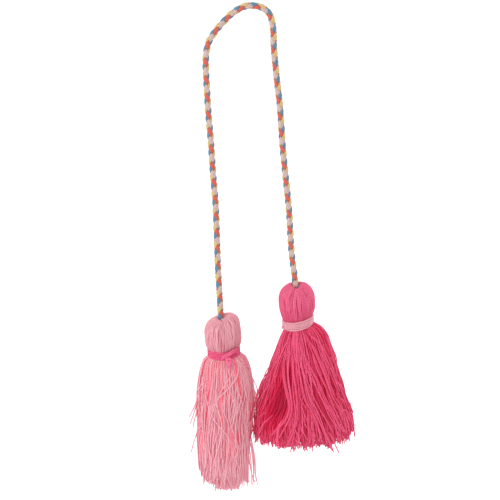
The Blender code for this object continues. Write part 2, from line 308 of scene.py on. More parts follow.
strand_lines, strand_out, strand_dive_shade = [], [], []
for way, start in ((-1, 0.0), (-1, math.pi), (1, 0.0), (1, math.pi)):
    angle = way * turn + start + STRAND_STRAIGHT / 2 * np.sin(2 * turn)
    reach = STRAND_OUT - way * STRAND_WEAVE * np.cos(2 * angle)
    out = front * np.cos(angle + twist)[:, None] + rightward * np.sin(angle + twist)[:, None]
    strand_lines.append(route + out * reach[:, None])
    strand_out.append(out)
    # Painted shade: how far a strand dives under another, for its colour to darken there.
    strand_dive_shade.append((1 + way * np.cos(2 * angle)) / 2)
braid = thread_piece(
    "braid",
    np.array(strand_lines),
    np.array(strand_out),
    thick=STRAND_THICK * STRAND_SIZES,
    wide=STRAND_WIDE * STRAND_SIZES,
    sides=BRAID_SIDES,
    tone=0.5,
    depth=np.array(strand_dive_shade),
)
for name, colour, mottle_and_shade in (
    ("red-orange soft cotton", "E0614C", "B64438"),
    ("pinkish white soft cotton", "D6BAB4", "A08688"),
    ("blue soft cotton", "648CA2", "40607C"),
    ("yellow soft cotton", "DAC084", "AE9258"),
):
    braid.data.materials.append(soft_cotton(name, colour, mottle_and_shade))
walls_each = (BRAID_RINGS - 1) * BRAID_SIDES
strand_of = np.concatenate([np.repeat(np.arange(4), walls_each), np.arange(4), np.arange(4)])
braid.data.polygons.foreach_set("material_index", strand_of.astype(np.int32))
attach(braid, "root")
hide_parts("braided_cord")


# ======================================================================== the tassels' heads
# Each tassel is a hank of two-ply cotton yarn.  It is folded over the cord's end, which pulls a dimple
# into its top, and tied below, so that the folded threads make a round head.

# One row for each level of a head, from the neck inside the binding up over the crown and down into
# the dimple.  Millimetres; lean is the rise for each millimetre towards +X.
HeadRow = namedtuple("HeadRow", "x z half_width lean")
PALE_HEAD = (
    HeadRow(-16.0, -139.0, 5.5, 0.03),
    HeadRow(-16.0, -136.5, 5.8, 0.03),
    HeadRow(-16.0, -135.0, 6.6, 0.03),
    HeadRow(-16.0, -133.5, 7.2, 0.01),
    HeadRow(-16.0, -130.9, 7.5, 0.0),
    HeadRow(-16.0, -127.1, 7.4, 0.05),
    HeadRow(-15.9, -124.3, 6.7, 0.10),
    HeadRow(-15.8, -122.6, 5.2, 0.18),
    HeadRow(-15.8, -121.9, 3.5, 0.22),
    HeadRow(-16.2, -122.2, 2.35, 0.14),
    HeadRow(-16.4, -123.4, 1.75, 0.0),
    HeadRow(-16.4, -125.2, 1.6, 0.0),
)
HOT_HEAD = (
    HeadRow(14.8, -128.0, 5.3, 0.14),
    HeadRow(14.7, -124.8, 5.6, 0.14),
    HeadRow(14.75, -123.2, 6.35, 0.14),
    HeadRow(14.75, -121.3, 7.0, 0.09),
    HeadRow(14.7, -118.6, 7.4, 0.04),
    HeadRow(14.7, -115.4, 7.4, 0.0),
    HeadRow(14.7, -112.6, 6.4, 0.0),
    HeadRow(14.8, -110.8, 4.8, 0.02),
    HeadRow(14.8, -110.1, 3.3, 0.03),
    HeadRow(14.6, -110.6, 2.3, 0.02),
    HeadRow(14.5, -111.8, 1.7, 0.0),
    HeadRow(14.5, -113.2, 1.55, 0.0),
)
HEAD_DEPTH = 0.9
HEAD_STEPS = 6
HEAD_THREADS = 104
HEAD_RINGS = 26
YARN_HALF = 0.33 * MM
YARN_SIDES = 7
CORE_INSET = 0.35
# A core's points and faces are put in order along this slanting line.
CORE_ORDER = Vector((0.37, 0.61, 1.0))

# The cord pulls a notch into the front of the rim: its depth, and how far round it reaches, in radians.
NOTCH_DEPTH = 1.4
NOTCH_WIDTH = 0.75
# How far a crease and a thread that lies beneath its neighbours are sunk, and the most that any thread
# is, in millimetres.  The shades are how much painted shade they get, as does the neck.
CREASE_SUNK = 0.6
BENEATH_SUNK = 0.2
SUNK_MOST = 0.8
CREASE_WIDTH = 0.04
HOLLOW_SHADE = 0.4
NECK_SHADE = 0.3

# Each thread's plies start at a place of their own, which its tone shifts.
PLY_SHIFT = 40.0
PLY_RELIEF = 0.05 * MM
# How much of the glow is left in the deepest hollows.
GLOW_LEFT = 0.3


# Mercerised cotton yarn: its plies show as fine lines that wind round the thread once in lay
# millimetres, with painted shade in the grooves between them.  A thread's tone runs from the middle
# colour to the bright one.  Painted shade in the deep colour falls on the side that faces its
# neighbours and on threads by how deep they lie, and a painted glow in the same colour stands for
# light that soaks through, so that the hollows glow in a full pink where they would else be dark.  In
# the deepest hollows the glow fades and painted shade in the hollow shade colour takes over.
def cotton_yarn(
    name, bright, middle, deep, hollow_shade_colour, glow_near, glow_inside, plies_round=2, lay=1.3, groove_shade_share=0.3
):
    material, tree = new_finish(name)
    place = add(tree, "SeparateXYZ", {"Vector": add(tree, "UVMap", {}, uv_map="yarn").outputs["UV"]})
    along = add(tree, "Math", {0: place.outputs["Y"], 1: math.tau / lay}, operation="MULTIPLY")
    wound = add(
        tree,
        "Math",
        {0: place.outputs["X"], 1: plies_round * math.tau, 2: along.outputs[0]},
        operation="MULTIPLY_ADD",
    )
    tone = add(tree, "Attribute", {}, attribute_name="tone").outputs["Fac"]
    started = add(tree, "Math", {0: tone, 1: PLY_SHIFT, 2: wound.outputs[0]}, operation="MULTIPLY_ADD")
    plies = add(tree, "Math", {0: started.outputs[0]}, operation="SINE")
    depth = add(tree, "Attribute", {}, attribute_name="depth").outputs["Fac"]
    thread = add(tree, "Mix", {0: tone, 6: linear(middle), 7: linear(bright)}, data_type="RGBA")
    # Painted shade: deeper threads are mixed towards the deep colour.
    inside = add(tree, "Mix", {0: depth, 6: thread.outputs[2], 7: linear(deep)}, data_type="RGBA")
    # Painted shade in the grooves between the plies.
    ply_groove_shade = add(
        tree,
        "MapRange",
        {"Value": plies.outputs[0], "From Min": -1.0, "From Max": 0.2, "To Min": groove_shade_share, "To Max": 0.0},
    )
    # Painted shade on the side of each thread that faces away from the outside, towards its neighbours.
    round_it = add(tree, "Math", {0: place.outputs["X"], 1: math.tau}, operation="MULTIPLY")
    facing_out = add(tree, "Math", {0: round_it.outputs[0]}, operation="COSINE")
    side = add(
        tree,
        "MapRange",
        {"Value": facing_out.outputs[0], "From Min": -0.7, "From Max": 0.6, "To Min": 0.75, "To Max": 0.0},
    )
    shaded = add(tree, "Math", {0: ply_groove_shade.outputs[0], 1: side.outputs[0]}, operation="MAXIMUM")
    body = add(tree, "Mix", {0: shaded.outputs[0], 6: inside.outputs[2], 7: linear(deep)}, data_type="RGBA")
    relief = add(tree, "Bump", {"Height": plies.outputs[0], "Strength": 0.5, "Distance": PLY_RELIEF})
    # Painted shade in the deepest hollows, towards the hollow shade colour.
    hollow = add(tree, "MapRange", {"Value": depth, "From Min": 1.0, "From Max": 1.8, "To Max": 0.6})
    body = add(tree, "Mix", {0: hollow.outputs[0], 6: body.outputs[2], 7: linear(hollow_shade_colour)}, data_type="RGBA")
    # Painted glow in the deep colour, standing for light that soaks through: it rises with depth and fades in
    # the deepest hollows.
    rising = add(tree, "MapRange", {"Value": depth, "To Min": glow_near, "To Max": glow_inside})
    fading = add(
        tree,
        "MapRange",
        {
            "Value": depth,
            "From Min": 0.85,
            "From Max": 1.35,
            "To Min": glow_inside,
            "To Max": GLOW_LEFT * glow_inside,
        },
    )
    glow = add(tree, "Math", {0: rising.outputs[0], 1: fading.outputs[0]}, operation="MINIMUM")
    cotton = add(
        tree,
        "BsdfPrincipled",
        {
            "Base Color": body.outputs[2],
            "Roughness": 0.65,
            "IOR": 1.4,
            "Sheen Weight": 0.3,
            "Sheen Roughness": 0.5,
            "Sheen Tint": linear(bright),
            "Emission Color": linear(deep),
            "Emission Strength": glow.outputs[0],
            "Normal": relief.outputs["Normal"],
        },
    )
    add(tree, "OutputMaterial", {"Surface": cotton.outputs[0]})
    return material


# In the heads the yarn is drawn tight.  These copies of it have darker deep and hollow shade colours,
# for more painted shade, and less of the painted glow that stands for light soaking through.
pale_tight = cotton_yarn(
    "pale pink cotton yarn, drawn tight", "F8BEC6", "E096A2", "C46E7E", "B05C6C", 0.02, 0.06
)
hot_tight = cotton_yarn(
    "hot pink cotton yarn, drawn tight", "F4769C", "D8406A", "B41E48", "901438", 0.02, 0.06
)


def eased(values, low, high):
    """0 below low and 1 above high, with a soft rise between."""
    share = np.clip((values - low) / (high - low), 0.0, 1.0)
    return share * share * (3 - 2 * share)


def notch(from_front, share):
    """How far the cord pulls down the front of a head's rim, at a share of the way from neck to dimple."""
    return NOTCH_DEPTH * np.exp(-((from_front / NOTCH_WIDTH) ** 2)) * eased(share, 0.45, 0.72)


def head_core(name, rows, material):
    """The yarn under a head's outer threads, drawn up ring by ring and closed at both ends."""
    bm = bmesh.new()
    profile = smooth_curve(rows, 3)
    steps = np.hypot(np.diff(profile[:, 2]), np.diff(profile[:, 1]))
    run = np.append(0.0, np.cumsum(steps)) / steps.sum()
    bmesh.ops.create_circle(bm, segments=40, radius=1.0, cap_ends=True)
    edges = list(bm.edges)
    ring = list(bm.verts)
    turns = [math.atan2(vert.co.y, vert.co.x) for vert in ring]
    for level_at, (x, z, half_width, lean) in enumerate(profile):
        if level_at:
            grown = bmesh.ops.extrude_edge_only(bm, edges=edges)["geom"]
            new_verts = [item for item in grown if isinstance(item, bmesh.types.BMVert)]
            edges = [item for item in grown if isinstance(item, bmesh.types.BMEdge) and item.is_boundary]
            ring = [min(new_verts, key=lambda vert: (vert.co - old.co).length) for old in ring]
        for vert, turned in zip(ring, turns):
            out = (half_width - CORE_INSET) * math.cos(turned)
            back = (half_width - CORE_INSET) * math.sin(turned) * HEAD_DEPTH
            from_front = math.atan2(out, -back)
            drop = CORE_INSET * 0.6 + notch(from_front, run[level_at])
            vert.co = Vector((x + out, back, z + out * lean - drop)) * MM
    bmesh.ops.edgenet_fill(bm, edges=edges)
    bmesh.ops.recalc_face_normals(bm, faces=bm.faces)
    # The operators leave points and faces in an order that changes from run to run.
    bm.verts.sort(key=lambda vert: vert.co.dot(CORE_ORDER))
    bm.faces.sort(key=lambda face: face.calc_center_median().dot(CORE_ORDER))
    mesh = bpy.data.meshes.new(name)
    bm.to_mesh(mesh)
    bm.free()
    mesh.shade_smooth()
    paint(mesh, "tone", np.zeros(len(mesh.vertices)))
    # Painted shade: the whole core takes the deep colour, with its painted glow.
    paint(mesh, "depth", np.ones(len(mesh.vertices)))
    mesh.materials.append(material)
    made = bpy.data.objects.new(name, mesh)
    bpy.context.scene.collection.objects.link(made)
    return made


def waves(rng, count, at, turns, strength):
    """Smooth random sways, one row for each of count threads: sine waves of about so many turns."""
    total = np.zeros((count, len(at)))
    for turn_rate in turns:
        rate = turn_rate * rng.uniform(0.75, 1.3, (count, 1))
        total += rng.normal(0.0, 1.0, (count, 1)) * np.sin(math.tau * (rate * at + rng.random((count, 1))))
    return total * strength / math.sqrt(len(turns))


# Short creases where a head's threads part: turn from the front, and the shares of the way from the
# neck to the dimple where a crease starts and ends.
Crease = namedtuple("Crease", "turn start end")
PALE_CREASES = (Crease(0.5, 0.6, 0.9), Crease(-0.35, 0.6, 0.86), Crease(1.0, 0.5, 0.8))
HOT_CREASES = (
    Crease(0.6, 0.5, 0.86),
    Crease(-0.05, 0.2, 0.72),
    Crease(-0.42, 0.5, 0.84),
    Crease(0.95, 0.3, 0.6),
    Crease(-0.9, 0.4, 0.7),
)


def head_threads(rng, rows, creases, count, rings):
    """Threads that lie side by side from the neck up over the crown and down into the dimple.

    Returned with how much painted shade each of their rings gets, in creases, under neighbours and near the
    neck, with a little more at random."""
    profile = smooth_curve(rows, HEAD_STEPS)
    size = profile[:, 2]
    run = np.append(0.0, np.cumsum(np.hypot(np.diff(size), np.diff(profile[:, 1]))))
    at = np.linspace(0.0, 1.0, rings)
    x, z, half_width, lean = (np.interp(at * run[-1], run, column) for column in profile.T)
    # Each thread sways sideways, in radians, and in and out, in millimetres.
    turned = math.tau * (np.arange(count)[:, None] + rng.uniform(-0.25, 0.25, (count, 1))) / count - math.pi
    turned = turned + waves(rng, count, at, (0.7, 1.6), 0.03) + waves(rng, count, at, (3.5,), 0.012)
    raised = rng.uniform(-0.15, 0.08, (count, 1)) + waves(rng, count, at, (1.2, 2.5), 0.06)
    beneath = np.clip(waves(rng, count, at, (0.6, 1.5), 1.1) - 0.3, 0.0, 1.0)
    sunk = np.zeros_like(turned)
    for crease in creases:
        near = np.exp(-(((turned - crease.turn) / CREASE_WIDTH) ** 2))
        middle = (crease.start + crease.end) / 2
        sunk = sunk + near * eased(at, crease.start, middle) * (1 - eased(at, middle, crease.end))
    raised = raised - CREASE_SUNK * sunk - BENEATH_SUNK * beneath
    reach = half_width + np.maximum(raised, -SUNK_MOST) - YARN_HALF / MM
    across, back = reach * np.sin(turned), -reach * np.cos(turned) * HEAD_DEPTH
    rise = across * lean + raised * 0.5 - notch(turned, at)
    # Painted shade in creases, under neighbours and near the neck, and a little more at random.
    depth = HOLLOW_SHADE * sunk + HOLLOW_SHADE * beneath + rng.uniform(0.0, 0.12, (count, 1))
    depth = depth + NECK_SHADE * (1 - eased(at, 0.1, 0.45))
    return np.stack([x + across, back, z + rise], axis=-1) * MM, np.clip(depth, 0.0, 1.0)


def head_tone(rng, low, high):
    """The tone of each of a head's threads, which changes from bundle to bundle, with painted shade that
    lowers it towards the neck.
    """
    bundle = np.repeat(rng.uniform(low, high, HEAD_THREADS // 4), 4)
    mixed = 0.7 * bundle + 0.3 * rng.uniform(low, high, HEAD_THREADS)
    return mixed[:, None] * (0.7 + 0.3 * eased(np.linspace(0.0, 1.0, HEAD_RINGS), 0.2, 0.6))


rng = np.random.default_rng(31)
for name, rows, creases, middle, tones, material, node, yarn_slot in (
    (
        "pale_head", PALE_HEAD, PALE_CREASES, (-0.016, 0.0, -0.129), (0.0, 0.8),
        pale_tight, "pale_tassel", "pale_yarn",
    ),
    (
        "hot_head", HOT_HEAD, HOT_CREASES, (0.0147, 0.0, -0.118), (0.35, 1.0),
        hot_tight, "hot_tassel", "hot_yarn",
    ),
):
    core = head_core(name + "_core", rows, material)
    lines, depth = head_threads(rng, rows, creases, HEAD_THREADS, HEAD_RINGS)
    threads = thread_piece(
        name,
        lines,
        lines - np.array(middle),
        thick=YARN_HALF,
        wide=YARN_HALF,
        sides=YARN_SIDES,
        tone=head_tone(rng, *tones),
        depth=depth,
    )
    threads.data.materials.append(material)
    for piece in (core, threads):
        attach(piece, "root")
        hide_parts(node)


# ======================================================================== the tassels' skirts
# Below the binding the same threads hang free, cut straight across and then ruffled.  They cling in
# locks, cross each other and sway; the pale tassel is combed down slim and the hot pink one spreads.

# One row for each level of a skirt, from inside the binding down.  Millimetres.
SkirtRow = namedtuple("SkirtRow", "z x half_width half_depth")
PALE_SKIRT = (
    SkirtRow(-136.6, -16.0, 5.2, 4.7),
    SkirtRow(-137.8, -15.9, 6.3, 5.1),
    SkirtRow(-138.8, -15.8, 8.0, 5.6),
    SkirtRow(-140.3, -15.9, 9.1, 6.9),
    SkirtRow(-143.8, -15.9, 10.2, 8.2),
    SkirtRow(-149.0, -16.0, 11.0, 8.9),
    SkirtRow(-154.0, -16.2, 11.5, 9.3),
    SkirtRow(-165.0, -17.1, 11.4, 9.5),
    SkirtRow(-177.0, -18.1, 10.8, 9.5),
    SkirtRow(-190.0, -18.9, 10.0, 9.2),
    SkirtRow(-203.0, -18.9, 9.6, 9.0),
)
HOT_SKIRT = (
    SkirtRow(-125.4, 14.8, 5.0, 4.5),
    SkirtRow(-127.2, 15.1, 5.9, 4.9),
    SkirtRow(-128.6, 15.9, 7.4, 5.9),
    SkirtRow(-130.4, 16.2, 8.8, 7.1),
    SkirtRow(-133.5, 16.5, 10.3, 8.4),
    SkirtRow(-137.0, 16.5, 11.3, 9.4),
    SkirtRow(-143.4, 16.3, 13.3, 10.9),
    SkirtRow(-150.0, 15.6, 15.5, 12.5),
    SkirtRow(-157.0, 15.0, 17.5, 13.9),
    SkirtRow(-164.0, 14.8, 19.5, 15.0),
    SkirtRow(-173.0, 15.3, 20.2, 15.6),
    SkirtRow(-183.0, 15.4, 20.0, 15.5),
)

# Places where the skirt's outside is drawn in or swept sideways.  Turn is measured round from the
# front towards +X, in radians; top and bottom are shares of the way down.  Gloom is how much painted
# shade and painted glow the threads get there: about a half for a full painted glow, as of light
# soaking through them, and over one for painted shade in a dark hollow.
Fold = namedtuple("Fold", "turn width top bottom inward sideways gloom")
PALE_FOLDS = (
    Fold(0.22, 0.10, 0.5, 0.8, 0.13, 0.0, 0.3),
    Fold(-0.70, 0.10, 0.08, 0.4, 0.16, 0.0, 0.4),
    Fold(-0.2, 0.08, 0.1, 0.5, 0.14, 0.0, 0.3),
    Fold(0.95, 0.14, 0.25, 0.6, 0.16, 0.0, 0.4),
    Fold(0.75, 0.45, 0.0, 0.55, 0.0, 0.22, 0.0),
    Fold(-1.2, 0.2, 0.5, 0.9, 0.10, 0.0, 0.2),
)
HOT_FOLDS = (
    Fold(-0.66, 0.36, 0.24, 0.85, 0.42, 0.0, 1.15),
    Fold(-1.1, 0.3, 0.55, 1.0, 0.0, 0.0, 0.3),
    Fold(-0.95, 0.16, 0.5, 0.95, 0.10, -0.10, 0.3),
    Fold(0.1, 0.25, 0.1, 0.9, 0.0, 0.22, 0.0),
    Fold(0.45, 0.10, 0.2, 0.8, 0.12, 0.16, 0.3),
    Fold(0.8, 0.2, 0.3, 0.9, 0.07, 0.12, 0.2),
)

# Locks and single threads that lie over the others or stand out from them, each as points of X and Z
# on the skirt's front.  Spread is how far its threads lie apart, and proud how far they stand out.
Drape = namedtuple("Drape", "threads spread proud points")
PALE_DRAPES = (
    Drape(1, 0.0, 0.3, (
        (-12.6, -140.0), (-12.8, -143.0), (-14.8, -146.8), (-17.4, -150.3), (-19.7, -155.3), (-21.4, -163.0),
    )),
    Drape(2, 0.9, 0.4, (
        (-10.8, -139.8), (-11.2, -144.4), (-13.7, -148.1), (-17.9, -151.9), (-19.7, -154.4),
    )),
    Drape(1, 0.0, 0.4, (
        (-24.9, -145.1), (-24.8, -150.2), (-23.2, -158.1), (-21.0, -163.4), (-16.7, -169.4), (-14.3, -175.5),
    )),
    Drape(2, 0.7, 0.4, (
        (-9.6, -140.7), (-8.7, -146.7), (-8.7, -153.7), (-10.7, -160.5), (-11.9, -168.1), (-11.6, -177.0),
    )),
    Drape(1, 0.0, 0.4, (
        (-19.7, -139.7), (-19.2, -146.2), (-20.1, -154.4), (-18.3, -165.1), (-19.5, -172.3), (-22.4, -181.3),
    )),
    Drape(1, 0.0, 0.4, (
        (-14.4, -139.7), (-14.1, -148.5), (-15.1, -158.9), (-14.6, -165.4), (-12.9, -172.2),
    )),
    Drape(1, 0.0, 0.3, ((-25.0, -146.1), (-27.0, -152.2), (-29.0, -158.4), (-32.0, -164.2))),
    Drape(1, 0.0, 0.3, ((-25.5, -148.2), (-27.5, -154.6), (-29.4, -161.2), (-31.6, -166.8))),
    Drape(1, 0.0, 0.3, ((-26.7, -155.7), (-28.5, -161.2), (-29.8, -165.6), (-30.6, -169.0))),
    Drape(1, 0.0, 0.3, ((-27.4, -165.8), (-29.5, -172.0), (-31.0, -176.2), (-32.1, -180.2))),
    Drape(5, 1.0, 0.2, ((-10.4, -139.8), (-7.6, -144.1), (-5.4, -151.4), (-4.3, -158.7))),
    Drape(4, 1.0, 0.2, ((-9.9, -140.4), (-7.9, -145.0), (-6.4, -154.4), (-5.8, -166.1))),
    Drape(2, 0.4, 0.3, (
        (-8.6, -160.4), (-8.6, -167.1), (-7.8, -175.7), (-7.2, -185.0), (-7.3, -192.2), (-8.1, -195.4),
    )),
    Drape(1, 0.0, 0.3, (
        (-8.2, -160.3), (-8.2, -167.3), (-7.3, -175.2), (-6.2, -182.0), (-6.4, -189.5), (-7.0, -193.1),
    )),
    Drape(2, 0.4, 0.3, (
        (-8.1, -156.3), (-7.7, -165.3), (-6.6, -174.4), (-5.6, -182.9), (-5.6, -190.5), (-4.8, -196.1),
    )),
    Drape(2, 0.6, 0.3, ((-9.2, -158.9), (-9.0, -166.9), (-8.6, -176.0), (-8.5, -185.3), (-9.2, -195.8))),
    Drape(1, 0.0, 0.3, ((-8.9, -160.2), (-8.7, -169.2), (-8.3, -178.5), (-7.6, -188.6), (-6.0, -194.9))),
    Drape(2, 0.7, 0.3, ((-9.9, -159.7), (-9.9, -168.7), (-9.7, -177.7), (-10.0, -186.6), (-10.9, -195.3))),
)
HOT_DRAPES = (
    Drape(3, 0.6, 0.4, (
        (10.3, -129.6), (8.7, -136.4), (7.5, -143.7), (8.3, -150.7), (9.4, -157.3), (7.3, -162.9),
        (3.9, -166.7), (0.1, -171.2),
    )),
    Drape(2, 0.6, 0.3, (
        (11.1, -129.5), (10.3, -136.2), (9.5, -143.5), (9.9, -150.8), (10.3, -157.5), (8.9, -162.6),
        (6.2, -167.8), (3.6, -172.3),
    )),
    Drape(3, 1.0, 0.2, (
        (12.3, -130.1), (11.9, -136.1), (11.5, -143.4), (11.9, -150.8), (11.9, -157.5), (11.2, -163.4),
        (9.4, -168.9), (7.6, -173.2),
    )),
    Drape(6, 1.4, 0.3, (
        (14.3, -129.9), (15.1, -135.6), (17.2, -141.5), (20.1, -148.1), (21.7, -153.0), (23.9, -158.4),
        (26.9, -164.6), (30.5, -171.7),
    )),
    Drape(6, 1.4, 0.3, (
        (13.6, -129.9), (13.3, -135.6), (13.6, -141.6), (14.4, -148.8), (15.7, -155.0), (18.2, -160.0),
        (20.4, -166.5), (22.0, -173.4),
    )),
    Drape(3, 1.2, 0.3, (
        (17.9, -130.1), (20.7, -136.1), (23.4, -143.7), (26.3, -151.0), (28.6, -157.1), (31.5, -164.2),
        (33.4, -170.4),
    )),
    Drape(2, 0.4, 0.2, ((11.6, -164.6), (10.1, -171.0), (8.8, -176.5))),
    Drape(2, 0.4, 0.2, ((22.0, -165.5), (24.2, -172.3), (26.1, -178.0))),
    Drape(1, 0.0, 0.2, ((24.0, -167.1), (26.7, -173.7), (28.6, -179.0))),
    Drape(1, 0.0, 0.2, ((28.7, -164.9), (32.0, -171.3), (33.6, -176.1))),
    Drape(2, 0.3, 0.2, ((31.0, -159.8), (33.6, -166.5), (35.3, -171.9))),
    Drape(1, 0.0, 0.3, ((2.6, -140.1), (-0.7, -149.2), (-3.2, -155.5), (-5.8, -161.8))),
    Drape(1, 0.0, 0.3, ((1.2, -143.4), (-2.2, -151.7), (-4.6, -158.4), (-7.1, -166.9))),
    Drape(3, 0.3, 0.3, ((29.0, -147.8), (31.6, -155.5), (33.7, -161.4), (35.0, -165.4))),
    Drape(3, 0.3, 0.3, ((30.3, -154.7), (32.7, -162.0), (34.4, -168.4), (35.2, -173.2))),
    Drape(2, 0.6, 0.2, ((27.9, -156.7), (30.9, -164.8), (32.9, -170.9), (33.2, -175.8))),
    Drape(1, 0.3, 0.0, ((-1.7, -160.4), (-4.4, -166.3), (-6.3, -170.4), (-7.3, -173.9))),
    Drape(2, 0.6, 0.0, ((0.6, -161.6), (-2.5, -167.8), (-4.4, -172.9), (-5.7, -176.6))),
    Drape(3, 0.6, 0.2, ((6.6, -160.8), (4.7, -166.2), (3.7, -171.4), (4.3, -175.6))),
    Drape(2, 0.5, 0.2, ((16.5, -162.8), (17.0, -168.7), (16.0, -173.3), (14.3, -176.0))),
    Drape(4, 0.9, 0.2, ((18.6, -129.4), (22.6, -133.6), (25.2, -139.8), (27.6, -147.0), (30.2, -154.6))),
    Drape(3, 0.6, 0.2, ((17.0, -130.2), (19.6, -134.6), (22.0, -141.0), (24.6, -148.6), (26.8, -155.2))),
    Drape(3, 0.7, 0.2, ((11.0, -129.4), (8.4, -134.4), (5.6, -141.0), (3.2, -147.6))),
)
pale_cotton = cotton_yarn(
    "pale pink cotton yarn", "EAB9C1", "E3A2AE", "EE7C94", "E06C84", 0.07, 0.39, groove_shade_share=0.35
)
hot_cotton = cotton_yarn(
    "hot pink cotton yarn", "F66C96", "DA3762", "CC1846", "AC123C", 0.07, 0.30, groove_shade_share=0.5
)

# How a skirt is cut: its top and bottom, how much shorter its threads are at the left, right, front and
# rim, and how ragged its edge is, in millimetres.  Lean is the rise of its top for each millimetre
# towards +X, and crowded how far behind the threads lie just under the binding.
Skirt = namedtuple(
    "Skirt",
    "rows folds drapes top bottom shorter_left shorter_right shorter_front shorter_rim "
    "ragged locks lean crowded",
)
PALE_CUT = Skirt(PALE_SKIRT, PALE_FOLDS, PALE_DRAPES, -136.6, -193.4, 4.0, 0.0, 0.0, 2.5, 1.5, 70, 0.02, 0.15)
HOT_CUT = Skirt(HOT_SKIRT, HOT_FOLDS, HOT_DRAPES, -125.4, -176.6, -0.6, 0.4, 1.8, 2.0, 0.9, 80, 0.12, 0.2)

# A skirt's threads lie in layers.  Rim is how near the outside the outermost thread lies, deep how far
# in the innermost does, half is half of a thread's thickness in millimetres, wildness is how much the
# threads sway, cling how far they gather in locks, and crossing the share of them that cross the others.
Layer = namedtuple("Layer", "name count rings sides half rim deep wildness cling crossing")
PALE_LAYERS = (
    Layer("pale_skirt", 560, 26, 6, 0.25, 1.0, 0.42, 1.4, 1.0, 0.13),
    Layer("pale_skirt_inside", 420, 14, 5, 0.33, 0.82, 0.8, 0.8, 1.0, 0.13),
    Layer("pale_skirt_loose", 120, 26, 6, 0.21, 1.03, 0.05, 1.6, 0.25, 0.5),
)
HOT_LAYERS = (
    Layer("hot_skirt", 660, 23, 6, 0.25, 1.0, 0.36, 0.7, 1.0, 0.06),
    Layer("hot_skirt_inside", 800, 14, 5, 0.33, 0.88, 0.86, 0.6, 1.0, 0.06),
    Layer("hot_skirt_loose", 80, 26, 6, 0.21, 1.03, 0.07, 1.2, 0.25, 0.35),
)

# Threads and locks are spread evenly round by the golden share of a turn.
GOLDEN_SHARE = 0.618034
# The higher the power, the more of the threads, or locks, lie near the outside.
THREADS_OUTWARD = 1.7
LOCKS_OUTWARD = 1.4
# Just under the binding a few threads lie in front of the crowd.  The others lie behind them by a share
# of the skirt's radius, which grows for the layers inside, and get painted shade for it.
IN_FRONT = 0.11
LEAST_BEHIND = 0.45
INSIDE_BEHIND = 4.0
BEHIND_GLOOM = 1.5
# The longest and the shortest that a thread is cut past the even edge, in millimetres.
CUT_LONGEST = -3.2
CUT_SHORTEST = 6.0


def skirt_at(cut, z):
    """The middle, half width and half depth of a skirt's outside at the heights z."""
    shape = smooth_curve(cut.rows, 8)[::-1]
    return [np.interp(z, shape[:, 0], shape[:, column]) for column in (1, 2, 3)]


